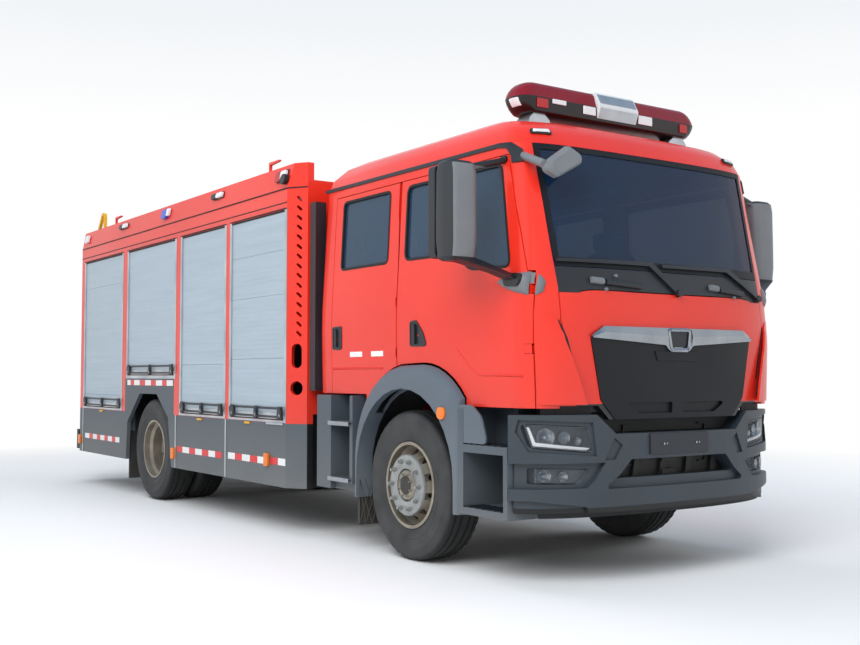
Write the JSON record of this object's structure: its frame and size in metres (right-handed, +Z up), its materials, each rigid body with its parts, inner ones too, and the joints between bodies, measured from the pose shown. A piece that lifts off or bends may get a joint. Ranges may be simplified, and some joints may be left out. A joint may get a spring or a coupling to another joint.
{
  "type": "compressed air foam fire truck",
  "caption": "Two-axle fire engine with crew cab, roller-shutter equipment body, front flap and roof light bar",
  "frame": {"origin": "on the ground under the middle of the bounding box", "axes": "+X is forward, +Y is the truck's left, +Z is up"},
  "size_m": [8.58, 3.0618, 3.245],
  "materials": {
    "red_paint": "gloss",
    "grey_paint": "satin",
    "frame_black": "satin",
    "cast_dark": "matte",
    "tyre_rubber": "matte",
    "rim_silver": "satin",
    "shutter_alu": "satin",
    "alu_plain": "satin",
    "black_plastic": "satin",
    "mirror_shell": "satin",
    "tinted_glass": "gloss",
    "lamp_clear": "gloss",
    "lens_red": "gloss",
    "rail_yellow": "gloss",
    "seat_cloth": "matte",
    "tank_plastic": "matte",
    "rubber_black": "matte",
    "bright_trim": "gloss"
  },
  "bodies": {
    "chassis": {"chassis_frame": "frame_black", "engine": "cast_dark", "front_axle": "cast_dark", "rear_axle": "cast_dark", "leaf_springs": "frame_black", "propeller_shaft": "cast_dark", "bumper": "grey_paint", "head_lamps": "lamp_clear", "wheel_arches": "grey_paint", "entry_steps": "grey_paint", "cab_floor": "black_plastic", "cab_sides": "red_paint", "cab_roof": "red_paint", "cab_rear_wall": "red_paint", "cab_front": "black_plastic", "windscreen": "tinted_glass", "seats": "seat_cloth", "steering_wheel": "black_plastic", "wipers": "black_plastic", "light_bar": "black_plastic", "light_bar_lens": "lens_red", "front_mirror": "mirror_shell", "air_intake": "black_plastic", "body_floor": "alu_plain", "body_sides": "red_paint", "body_ends": "red_paint", "body_roof": "alu_plain", "shutters": "shutter_alu", "lift_bars": "black_plastic", "skirts": "grey_paint", "rear_step": "frame_black", "ladder": "alu_plain", "grab_rails": "rail_yellow", "body_lamps": "lamp_clear", "water_tank": "tank_plastic", "mud_flaps": "rubber_black"},
    "knuckle_right": {"knuckle_right": "cast_dark"},
    "knuckle_left": {"knuckle_left": "cast_dark"},
    "track_rod": {"track_rod": "cast_dark"},
    "wheel_front_right": {"tyre_front_right": "tyre_rubber", "rim_front_right": "rim_silver"},
    "wheel_front_left": {"tyre_front_left": "tyre_rubber", "rim_front_left": "rim_silver"},
    "wheel_rear_right": {"tyre_rear_right": "tyre_rubber", "rim_rear_right": "rim_silver"},
    "wheel_rear_left": {"tyre_rear_left": "tyre_rubber", "rim_rear_left": "rim_silver"},
    "door_front_right": {"door_front_right": "red_paint", "glass_front_right": "tinted_glass", "mirror_right": "mirror_shell"},
    "door_front_left": {"door_front_left": "red_paint", "glass_front_left": "tinted_glass", "mirror_left": "mirror_shell"},
    "door_rear_right": {"door_rear_right": "red_paint", "glass_rear_right": "tinted_glass"},
    "door_rear_left": {"door_rear_left": "red_paint", "glass_rear_left": "tinted_glass"},
    "front_flap": {"front_flap": "red_paint", "grille": "black_plastic", "grille_bar": "bright_trim"}
  },
  "joints": [
    {"name": "steer_left", "type": "hinge", "parent": "chassis", "child": "knuckle_left", "pos_m": [2.81, 0.875, 0.515], "axis": [0, 0, 1], "range_deg": [-38, 38]},
    {"name": "steer_right", "type": "hinge", "parent": "chassis", "child": "knuckle_right", "pos_m": [2.81, -0.875, 0.515], "axis": [0, 0, 1], "range_deg": [-38, 38]},
    {"name": "track_rod_pivot", "type": "hinge", "parent": "knuckle_left", "child": "track_rod", "pos_m": [2.65, 0.875, 0.403], "axis": [0, 0, 1], "range_deg": [-38, 38]},
    {"name": "spin_front_right", "type": "hinge", "parent": "knuckle_right", "child": "wheel_front_right", "pos_m": [2.81, -0.975, 0.515], "axis": [0, 1, 0], "continuous": true},
    {"name": "spin_front_left", "type": "hinge", "parent": "knuckle_left", "child": "wheel_front_left", "pos_m": [2.81, 0.975, 0.515], "axis": [0, 1, 0], "continuous": true},
    {"name": "spin_rear_right", "type": "hinge", "parent": "chassis", "child": "wheel_rear_right", "pos_m": [-1.79, -0.9045, 0.515], "axis": [0, 1, 0], "continuous": true},
    {"name": "spin_rear_left", "type": "hinge", "parent": "chassis", "child": "wheel_rear_left", "pos_m": [-1.79, 0.9045, 0.515], "axis": [0, 1, 0], "continuous": true},
    {"name": "door_front_right", "type": "hinge", "parent": "chassis", "child": "door_front_right", "pos_m": [4.072, -1.068, 1.6], "axis": [0, 0, 1], "range_deg": [0, 75]},
    {"name": "door_rear_right", "type": "hinge", "parent": "chassis", "child": "door_rear_right", "pos_m": [2.64, -1.106, 1.6], "axis": [0, 0, 1], "range_deg": [0, 75]},
    {"name": "door_front_left", "type": "hinge", "parent": "chassis", "child": "door_front_left", "pos_m": [4.072, 1.068, 1.6], "axis": [0, 0, -1], "range_deg": [0, 75]},
    {"name": "door_rear_left", "type": "hinge", "parent": "chassis", "child": "door_rear_left", "pos_m": [2.64, 1.106, 1.6], "axis": [0, 0, -1], "range_deg": [0, 75]},
    {"name": "front_flap", "type": "hinge", "parent": "chassis", "child": "front_flap", "pos_m": [4.222, 0, 1.772], "axis": [0, -1, 0], "range_deg": [0, 75]}
  ],
  "couplings": [
    {"joint": "steer_right", "follows": "steer_left", "ratio": 1},
    {"joint": "track_rod_pivot", "follows": "steer_left", "ratio": -1}
  ]
}
